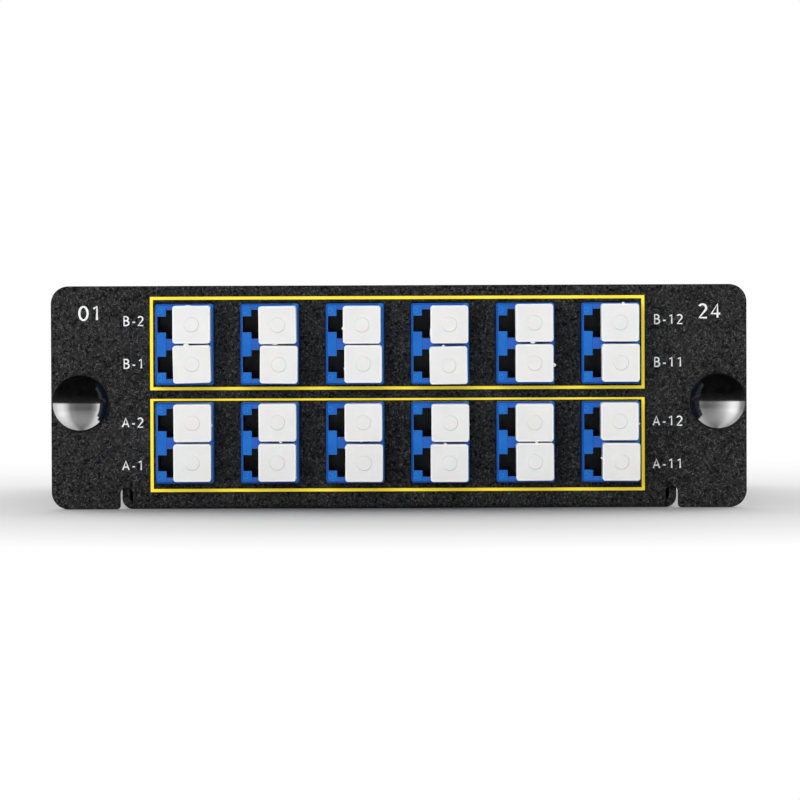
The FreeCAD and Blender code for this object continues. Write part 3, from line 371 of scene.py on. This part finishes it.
# The pads' blues: a lighter copy of the adapter's plastic as painted light, with a painted highlight on
# their edges.
PAD_DARK, PAD_LIGHT, PAD_RIM_HIGHLIGHT = (0.004, 0.12, 0.5), (0.008, 0.15, 0.55), (0.05, 0.27, 0.7)
WHITE_DARK, WHITE_LIGHT = (0.8, 0.8, 0.795), (0.84, 0.84, 0.835)
# Painted highlight on a head's rim, and painted shade under its mark.
WHITE_RIM_HIGHLIGHT, WHITE_UNDER_SHADE = (0.98, 0.98, 0.98), (0.68, 0.68, 0.68)

# Shares of an adapter's box: where its right strip starts, which is painted lighter as painted light, and
# where painted shade lies inside its sockets.
LIT_STRIP_START = 0.835
SOCKET_WIDTH, SOCKET_HEIGHT, SOCKET_EDGE = (0.1, 0.9), (0.05, 0.95), 0.01
SOCKET_DEPTH = (0.004, 0.05)

# Shares of a white head's width, from its middle: where its painted rim highlight starts and where the
# painted shade under its mark ends.
HEAD_RIM_HIGHLIGHT = (0.445, 0.48)
MARK_SHADE_END = (0.3, 0.27)

# A latch head's dome: the lean of its surface over its whole width, the leans up to which its middle
# is smoothed, from all to nothing, and how far back that reaches, as a share of the plunger's length.
DOME_SLOPE = 1.476
DOME_MIDDLE = (0.12, 0.18, 1.0, 0.0)
DOME_FRONT = (0.05, 0.04)

white_print = ink("white_ink", (0.88, 0.88, 0.88), (0.97, 0.97, 0.97))
adapter_blue = adapter_plastic()
# The grommets' edges are painted lighter: a painted highlight on their flanges.
grommet_black = moulded("grommet_black", (0.003, 0.003, 0.003), (0.007, 0.007, 0.007), 0.3,
                        edge=0.16 * MM, rim_highlight=(0.1, 0.1, 0.1))
# The pads are painted lighter than the adapter they sit on, as if better lit, with painted highlights on
# their edges.
pad_blue = moulded("pad_plastic", PAD_DARK, PAD_LIGHT, 0.36, edge=0.09 * MM, rim_highlight=PAD_RIM_HIGHLIGHT,
                   Specular_IOR_Level=0.35)
finishes = {
    "powder_coat": powder_coat(),
    "zinc_steel": brushed("zinc_steel", (0.42, 0.43, 0.45), (0.62, 0.63, 0.64), 0.32,
                          (0.1, 1, 1)),
    "black_screw": brushed("black_screw", (0.02, 0.02, 0.022), (0.05, 0.05, 0.055), 0.36,
                           (1, 1, 0.3)),
    "zirconia": moulded("zirconia", (0.84, 0.83, 0.8), (0.9, 0.89, 0.86), 0.15),
    # The yellow print glows a little: painted light that keeps its lines evenly bright where the adapters
    # and plugs shade them.
    "yellow_ink": ink("yellow_ink", (0.88, 0.68, 0.035), (0.97, 0.76, 0.05), 0.27),
    # Painted highlight on the edges of this blue plastic.
    "blue_plastic": moulded("blue_plastic", BLUE_DARK, BLUE_LIGHT, 0.34, edge=0.12 * MM,
                            rim_highlight=BLUE_RIM_HIGHLIGHT),
    "white_plastic": soft_white("white_plastic"),
    "white_boot": moulded("white_boot", (0.68, 0.68, 0.66), (0.76, 0.76, 0.74), 0.6),
    "yellow_fibre": moulded("yellow_fibre", (0.74, 0.5, 0.04), (0.85, 0.6, 0.06), 0.45),
    "splitter_steel": brushed("splitter_steel", (0.45, 0.45, 0.46), (0.66, 0.66, 0.67), 0.28,
                              (0.08, 1, 1)),
    "tray_plastic": moulded("tray_plastic", (0.05, 0.05, 0.05), (0.08, 0.08, 0.08), 0.55),
    "clear_tube": moulded("clear_tube", (0.66, 0.68, 0.7), (0.76, 0.78, 0.8), 0.25),
    "black_plastic": moulded("black_plastic", (0.014, 0.014, 0.015), (0.024, 0.024, 0.025), 0.42,
                             edge=0.12 * MM),
    "black_boot": moulded("black_boot", (0.016, 0.016, 0.016), (0.028, 0.028, 0.028), 0.65),
    "latch_plastic": polished_black("latch_plastic"),
}


def dress_nodes():
    """Every CAD node gets the finish of its material slot."""
    slots = {part["node"]: part["material_slot"] for part in frame["record"]["subparts"]}
    for name, node in frame["nodes"].items():
        material = finishes[slots[name]]
        if name.startswith("lc_adapter"):
            material = adapter_blue
        if name.startswith("latch_grommet"):
            material = grommet_black
        if not node.material_slots:
            node.data.materials.append(material)
        for slot in node.material_slots:
            slot.material = material


def add_piece(name, mesh, body, material):
    """A new piece of the object on a CAD body."""
    piece = bpy.data.objects.new(name, mesh)
    bpy.context.scene.collection.objects.link(piece)
    mesh.materials.append(material)
    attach(piece, body)
    return piece


def arc(x, z, width, height, start, end, steps=14):
    """Points on an ellipse, between two angles in degrees."""
    angles = [math.radians(start + (end - start) * i / steps) for i in range(steps + 1)]
    return [(x + width * math.cos(a), z + height * math.sin(a)) for a in angles]


# Strokes and advance width of each character, in its own height.
GLYPHS = {
    "A": (0.88, [[(0.1, 0), (0.41, 1), (0.72, 0)], [(0.21, 0.33), (0.61, 0.33)]]),
    "B": (0.80, [[(0.62, 0.27)] + arc(0.33, 0.27, 0.29, 0.27, 0, -90) + [(0.15, 0), (0.15, 1)]
                 + arc(0.32, 0.77, 0.24, 0.23, 90, -90),
                 [(0.15, 0.54)] + arc(0.33, 0.27, 0.29, 0.27, 90, 0)]),
    "-": (0.46, [[(0.1, 0.36), (0.36, 0.36)]]),
    "0": (0.76, [arc(0.38, 0.5, 0.27, 0.5, 90, 450, 28)]),
    "1": (0.76, [[(0.2, 0.84), (0.43, 1), (0.43, 0)]]),
    "2": (0.76, [arc(0.35, 0.72, 0.24, 0.28, 150, -25) + [(0.14, 0), (0.64, 0)]]),
    "4": (0.76, [[(0.5, 0), (0.5, 1), (0.1, 0.3), (0.68, 0.3)]]),
}


def lettering(name, words, point, height, centred):
    """Printed characters on the plate, as flat raised strokes."""
    curve = bpy.data.curves.new(name, "CURVE")
    curve.dimensions = "3D"
    curve.bevel_depth = LETTER_STROKE / 2
    curve.bevel_resolution = 2
    curve.use_fill_caps = True
    start = 0.0
    for letter in words:
        advance, strokes = GLYPHS[letter]
        for stroke in strokes:
            spline = curve.splines.new("POLY")
            spline.points.add(len(stroke) - 1)
            for place, (x, z) in zip(spline.points, stroke):
                place.co = (start + x, 0, z, 1)
        start += advance + LETTER_SPACE
    source = bpy.data.objects.new(name + "_source", curve)
    mesh = bpy.data.meshes.new_from_object(source)
    bpy.data.objects.remove(source)
    shift = (start - LETTER_SPACE) / 2 if centred else 0.0
    flatten = 2 * LETTER_RISE / (LETTER_STROKE * height)
    for v in mesh.vertices:
        across = (v.co.x - shift) * LETTER_WIDTH
        v.co = point + Vector((across, v.co.y * flatten, v.co.z - 0.5)) * height
    return add_piece(name, mesh, "case", white_print)


def add_lettering():
    """Port numbers beside the rows, and a plain number in each upper corner."""
    for words, pixel in PORT_LABELS.items():
        lettering("port_label_" + words.lower(), words, at_pixel(*pixel), LETTER_HEIGHT, False)
    for words, pixel in CORNER_NUMBERS.items():
        lettering("corner_number_" + words, words, at_pixel(*pixel), NUMBER_HEIGHT, True)


def prism(work, outline, origin, along, across, length_way, length):
    """Closed solid: an outline in the plane of two directions, drawn out along a third."""
    rings = []
    for step in (0.0, length):
        start = origin + length_way * step
        rings.append([work.verts.new(start + along * u + across * v) for u, v in outline])
    near, far = rings
    work.faces.new(near)
    work.faces.new(far[::-1])
    for i in range(len(outline)):
        j = (i + 1) % len(outline)
        work.faces.new((near[j], near[i], far[i], far[j]))


def finish_mesh(name, work):
    """Mesh from a bmesh, with flat faces and its normals outwards."""
    bmesh.ops.recalc_face_normals(work, faces=work.faces[:])
    mesh = bpy.data.meshes.new(name)
    work.to_mesh(mesh)
    work.free()
    return mesh


X_WAY, Y_WAY, Z_WAY = Vector((1, 0, 0)), Vector((0, 1, 0)), Vector((0, 0, 1))


def ring_mark(work, centre, radius, width, rise, steps=24):
    """Low round ridge on a face that looks along -Y."""
    rings = []
    for reach, height in ((radius - width, 0.0), (radius - width / 2, rise), (radius, 0.0)):
        angles = [2 * math.pi * i / steps for i in range(steps)]
        rings.append([work.verts.new(centre + X_WAY * (reach * math.cos(a)) + Z_WAY * (reach * math.sin(a))
                                     - Y_WAY * height) for a in angles])
    rings.append(rings[0])
    for inner, outer in zip(rings, rings[1:]):
        for i in range(steps):
            j = (i + 1) % steps
            work.faces.new((inner[i], inner[j], outer[j], outer[i]))


def add_adapter_pads():
    """Three raised pads and two round pin marks on the face of each adapter."""
    profile = [(PAD_LEFT, 0.0), (PAD_LEFT, PAD_RISE - PAD_EDGE), (PAD_LEFT + PAD_EDGE, PAD_RISE),
               (PAD_RIDGE, PAD_RISE), (PAD_RIGHT - PAD_EDGE, PAD_RISE - PAD_SLOPE),
               (PAD_RIGHT, PAD_RISE - PAD_SLOPE - PAD_EDGE), (PAD_RIGHT, 0.0)]
    for node in frame["nodes"]:
        if not node.startswith("lc_adapter"):
            continue
        low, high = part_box(node)
        corner = Vector((low.x + FLANGE_REACH, low.y, low.z))
        work = bmesh.new()
        for bottom, top in PAD_ENDS:
            foot = corner + Z_WAY * (bottom * MM)
            prism(work, profile, foot, X_WAY, -Y_WAY, Z_WAY, (top - bottom) * MM)
        pad_middle = corner + X_WAY * ((PAD_LEFT + PAD_RIDGE) / 2) - Y_WAY * PAD_RISE
        for height in PIN_MARK_HEIGHTS:
            middle = pad_middle + Z_WAY * (height * MM)
            ring_mark(work, middle, PIN_MARK_RADIUS, PIN_MARK_WIDTH, PIN_MARK_WIDTH / 2)
        add_piece(node + "_pads", finish_mesh(node + "_pads", work), "case", pad_blue)


def add_gate_nibs():
    """The small torn-off stubs on the plugs' heads, each on its plug."""
    for number, (side, place, width, height) in GATE_NIBS.items():
        node = "dust_plug_" + number
        low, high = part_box(node)
        half = (high.z - low.z) / 2
        middle = Vector(((low.x + high.x) / 2, low.y + NIB_BACK, (low.z + high.z) / 2))
        turn = math.radians(NIB_SIDES[side])
        outwards = Vector((math.sin(turn), 0, math.cos(turn)))
        along = Vector((math.cos(turn), 0, -math.sin(turn)))
        shift = place if side in ("top", "left") else -place
        origin = middle + along * (shift * half) + outwards * half
        outline = [(width / 2 * MM, -NIB_ROOT)]
        outline += [(width / 2 * MM * u, height * MM * v) for u, v in arc(0, 0, 1, 1, 0, 180, 10)]
        outline.append((-width / 2 * MM, -NIB_ROOT))
        work = bmesh.new()
        prism(work, outline, origin, along, outwards, Y_WAY, NIB_LENGTH)
        mesh = finish_mesh(node + "_nib", work)
        add_piece(node + "_nib", mesh, node, finishes["white_plastic"])


def aim(thing, target):
    """Turn a camera or lamp to a point."""
    thing.rotation_mode = "QUATERNION"
    thing.rotation_quaternion = (target - thing.location).to_track_quat("-Z", "Y")


def add_camera():
    """Camera at the photograph's place, aimed at the image's centre."""
    data = bpy.data.cameras.new("camera")
    data.sensor_width = SENSOR
    data.lens = SENSOR * CAMERA_DISTANCE / (IMAGE_SIZE * PIXEL)
    data.clip_start, data.clip_end = CAMERA_CLIP
    camera = bpy.data.objects.new("camera", data)
    bpy.context.scene.collection.objects.link(camera)
    target = at_pixel(IMAGE_SIZE / 2, IMAGE_SIZE / 2)
    camera.location = (target.x, PLATE_Y - CAMERA_DISTANCE, CAMERA_HEIGHT)
    aim(camera, target)
    roll = Matrix.Rotation(CAMERA_ROLL, 3, "Z").to_quaternion()
    camera.rotation_quaternion = camera.rotation_quaternion @ roll
    bpy.context.scene.camera = camera


def only_for(light, things, included=True):
    """Let a light reach only some things, or all but these."""
    group = bpy.data.collections.new(light.name + "_receivers")
    for thing in things:
        group.objects.link(thing)
    if not included:
        for member in group.collection_objects:
            member.light_linking.link_state = "EXCLUDE"
    light.light_linking.receiver_collection = group


def add_lamp(name, shift, target, size, level):
    """Soft lamp, shifted from the point that it is aimed at, and not mirrored in the object."""
    data = bpy.data.lights.new(name, "AREA")
    data.shape = "RECTANGLE"
    data.size, data.size_y = size
    data.energy = math.pi * level * size[0] * size[1]
    lamp = bpy.data.objects.new(name, data)
    bpy.context.scene.collection.objects.link(lamp)
    lamp.location = target + shift
    aim(lamp, target)
    lamp.visible_camera = False
    lamp.visible_glossy = False
    return lamp


def see_through(tree, lit, seen):
    """Shader that camera, glossy and transmission rays see as one thing and light as another."""
    path = tree.nodes.new("ShaderNodeLightPath")
    total = path.outputs["Is Camera Ray"]
    for name in ("Is Glossy Ray", "Is Transmission Ray"):
        either = tree.nodes.new("ShaderNodeMath")
        either.operation = "MAXIMUM"
        tree.links.new(total, either.inputs[0])
        tree.links.new(path.outputs[name], either.inputs[1])
        total = either.outputs[0]
    mix = tree.nodes.new("ShaderNodeMixShader")
    tree.links.new(total, mix.inputs[0])
    tree.links.new(lit, mix.inputs[1])
    tree.links.new(seen, mix.inputs[2])
    return mix.outputs[0]


# Even light of the room, and what glossy surfaces mirror of it: grey at the horizon, dark above.
WORLD_LEVEL = 0.14
HORIZON_GREY, CEILING_GREY = 0.14, 0.004
CEILING_START = 0.45

# Floor: its half width, its grey, and where it turns white, as distances from the object's middle.
FLOOR_SIZE = 6.0
FLOOR_GREY = 0.92
FLOOR_NEAR, FLOOR_FAR = 0.046, 0.165

# Lamps: shift from the point that each is aimed at, that point, width and height, and level.
PLATE_MIDDLE = Vector((0.0, PLATE_Y, 0.0175))
PLATE_FOOT = Vector((0.0, PLATE_Y, 0.0))
FRONT_LAMP = (Vector((-0.25, -1.05, 0.22)), PLATE_MIDDLE, (0.9, 0.6), 6.8)
BACK_HIGH_LAMP = (Vector((0.0, 0.48, 0.76)), PLATE_FOOT, (2.0, 0.55), 1.7)
BACK_LOW_LAMP = (Vector((0.0, 0.95, 0.38)), PLATE_FOOT, (2.2, 0.4), 5.0)

# What each latch's head mirrors of the floor: a glow's brightest level and its half width.
CARD_LEVEL = 12.0
CARD_REACH = 1.2
# Heights of the two glows. They differ, so that the two squares don't lie in one plane.
CARD_RISE = {"left": 0.3 * MM, "right": 0.9 * MM}
# Shares of a glow between two distances from its latch: of its part by direction, and of the part
# that is the same all round, which grows and then fades.
CARD_START = (6 * MM, 30 * MM, 0.25, 1.0)
CARD_FOOT = (0.0, 9 * MM, 0.35, 1.0)
CARD_FADE = (14 * MM, 48 * MM, 0.22, 0.0)
# Brightness of a glow by its direction in degrees: 0 is straight ahead, 90 is to +X.
LATCH_CARDS = {
    "left": ((-90, 0.45), (-75, 0.75), (-60, 0.85), (-47, 0.6), (-32, 0.14), (-10, 0.05), (35, 0.05),
             (50, 0.22), (62, 0.75), (75, 1.0), (90, 0.8)),
    "right": ((-90, 0.3), (-75, 0.42), (-60, 0.14), (-40, 0.05), (-12, 0.1), (8, 0.25), (25, 0.5),
              (42, 0.9), (52, 0.98), (66, 0.8), (80, 0.22), (90, 0.1)),
}


def add_world():
    """White background; surfaces are lit by an even grey and mirror a room darker upwards."""
    world = bpy.data.worlds.new("studio")
    bpy.context.scene.world = world
    world.use_nodes = True
    tree = world.node_tree
    tree.nodes.clear()
    lit = tree.nodes.new("ShaderNodeBackground")
    lit.inputs["Color"].default_value = (1, 1, 1, 1)
    lit.inputs["Strength"].default_value = WORLD_LEVEL
    seen = tree.nodes.new("ShaderNodeBackground")
    seen.inputs["Color"].default_value = (1, 1, 1, 1)
    split = tree.nodes.new("ShaderNodeSeparateXYZ")
    tree.links.new(tree.nodes.new("ShaderNodeTexCoord").outputs["Generated"], split.inputs[0])
    room = tree.nodes.new("ShaderNodeMapRange")
    room.inputs["From Max"].default_value = CEILING_START
    room.inputs["To Min"].default_value = HORIZON_GREY
    room.inputs["To Max"].default_value = CEILING_GREY
    tree.links.new(split.outputs["Z"], room.inputs["Value"])
    pick = tree.nodes.new("ShaderNodeMapRange")
    pick.inputs["To Min"].default_value = 1.0
    tree.links.new(tree.nodes.new("ShaderNodeLightPath").outputs["Is Glossy Ray"], pick.inputs["Value"])
    tree.links.new(room.outputs["Result"], pick.inputs["To Max"])
    tree.links.new(pick.outputs["Result"], seen.inputs["Strength"])
    output = tree.nodes.new("ShaderNodeOutputWorld")
    tree.links.new(see_through(tree, lit.outputs[0], seen.outputs[0]), output.inputs["Surface"])


def stage_grid(name, size, place):
    """Flat square that isn't part of the object."""
    work = bmesh.new()
    bmesh.ops.create_grid(work, x_segments=1, y_segments=1, size=size)
    thing = bpy.data.objects.new(name, finish_mesh(name, work))
    bpy.context.scene.collection.objects.link(thing)
    thing.location = place
    return thing


def add_floor():
    """Pale floor that keeps the object's shadow and is white away from it."""
    floor = stage_grid("floor", FLOOR_SIZE, (0, 0, 0))
    g = Graph("floor")
    tree = g.tree
    tree.nodes.remove(g.shader)
    matt = g.add("ShaderNodeBsdfDiffuse")
    matt.inputs["Color"].default_value = (FLOOR_GREY, FLOOR_GREY, FLOOR_GREY, 1)
    white = g.add("ShaderNodeEmission")
    seen = g.add("ShaderNodeMixShader")
    g.link(g.span(g.length(g.place), FLOOR_NEAR, FLOOR_FAR), seen.inputs[0])
    g.link(matt.outputs[0], seen.inputs[1])
    g.link(white.outputs[0], seen.inputs[2])
    output = tree.nodes["Material Output"]
    tree.links.new(see_through(tree, matt.outputs[0], seen.outputs[0]), output.inputs["Surface"])
    floor.data.materials.append(g.material)
    return floor


def add_latch_card(side, directions):
    """Glow on the floor before a latch, which only its glossy head mirrors."""
    head = "latch_plunger_" + side
    low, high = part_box(head)
    middle = ((low.x + high.x) / 2, PLATE_Y, CARD_RISE[side])
    card = stage_grid("latch_card_" + side, CARD_REACH, middle)
    g = Graph("latch_card_" + side)
    g.tree.nodes.remove(g.shader)
    place = g.split(g.place)
    angle = g.calculate("ARCTAN2", place["X"], g.calculate("MULTIPLY", place["Y"], -1.0))
    stops = [((degrees + 90) / 180, level) for degrees, level in directions]
    around = g.ramp(g.span(angle, math.radians(-90), math.radians(90)), stops)
    reach = g.length(g.place)
    ahead = g.calculate("MULTIPLY", around, g.span(reach, *CARD_START))
    below = g.calculate("MULTIPLY", g.span(reach, *CARD_FOOT), g.span(reach, *CARD_FADE))
    level = g.calculate("MULTIPLY", g.calculate("ADD", ahead, below), CARD_LEVEL)
    glow = g.add("ShaderNodeEmission")
    g.link(level, glow.inputs["Strength"])
    both = g.add("ShaderNodeAddShader")
    g.link(glow.outputs[0], both.inputs[0])
    g.link(g.add("ShaderNodeBsdfTransparent").outputs[0], both.inputs[1])
    g.link(both.outputs[0], g.tree.nodes["Material Output"].inputs["Surface"])
    g.material.cycles.emission_sampling = "NONE"
    card.data.materials.append(g.material)
    card.visible_camera = card.visible_diffuse = False
    card.visible_shadow = card.visible_transmission = False
    only_for(card, [frame["nodes"][head]])


def add_lamps(floor):
    """Soft light from the front left for the object, and from behind for the floor and the top."""
    only_for(add_lamp("front", *FRONT_LAMP), [floor], False)
    add_lamp("back_high", *BACK_HIGH_LAMP)
    only_for(add_lamp("back_low", *BACK_LOW_LAMP), [floor])


dress_nodes()
add_lettering()
add_adapter_pads()
add_gate_nibs()
add_camera()
add_world()
add_lamps(add_floor())
for side, directions in LATCH_CARDS.items():
    add_latch_card(side, directions)
bpy.context.scene.view_settings.view_transform = "Standard"
